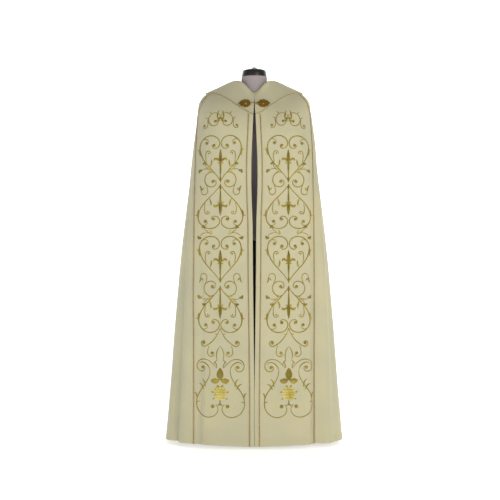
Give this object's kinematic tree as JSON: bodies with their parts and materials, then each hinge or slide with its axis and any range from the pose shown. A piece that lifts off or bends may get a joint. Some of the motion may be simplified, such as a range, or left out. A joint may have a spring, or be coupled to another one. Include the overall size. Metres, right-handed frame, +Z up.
{
  "type": "cope vestment on dress form",
  "caption": "Long open-fronted liturgical cloak of ivory cloth with embroidered front bands, shoulder collar and clasp, standing on a limbless dress form.",
  "frame": {"origin": "on the floor, at the centre of the stand base's underside", "axes": "+Z up, -Y to the front where the cope opens, +X to the viewer's right"},
  "size_m": [0.7506, 0.5842, 1.576],
  "materials": {
    "cope_cloth": "matt ivory woven cloth",
    "gold_cord": "gold metallic thread",
    "clasp_metal": "antique gold plated",
    "form_cover": "smooth grey jersey",
    "cap_lacquer": "black satin",
    "stand_metal": "black powder coat"
  },
  "bodies": {
    "root": {"front_edge_left": "cope_cloth", "front_edge_right": "cope_cloth", "front_panel_left": "cope_cloth", "front_panel_right": "cope_cloth", "cloak_left": "cope_cloth", "cloak_right": "cope_cloth", "collar": "cope_cloth", "inner_cord_left": "gold_cord", "inner_cord_right": "gold_cord", "outer_cord_left": "gold_cord", "outer_cord_right": "gold_cord", "collar_cord": "gold_cord", "clasp_left": "clasp_metal", "clasp_right": "clasp_metal", "form_body": "form_cover", "neck_cap": "cap_lacquer", "stand_pole": "stand_metal", "stand_base": "stand_metal"}
  },
  "joints": []
}
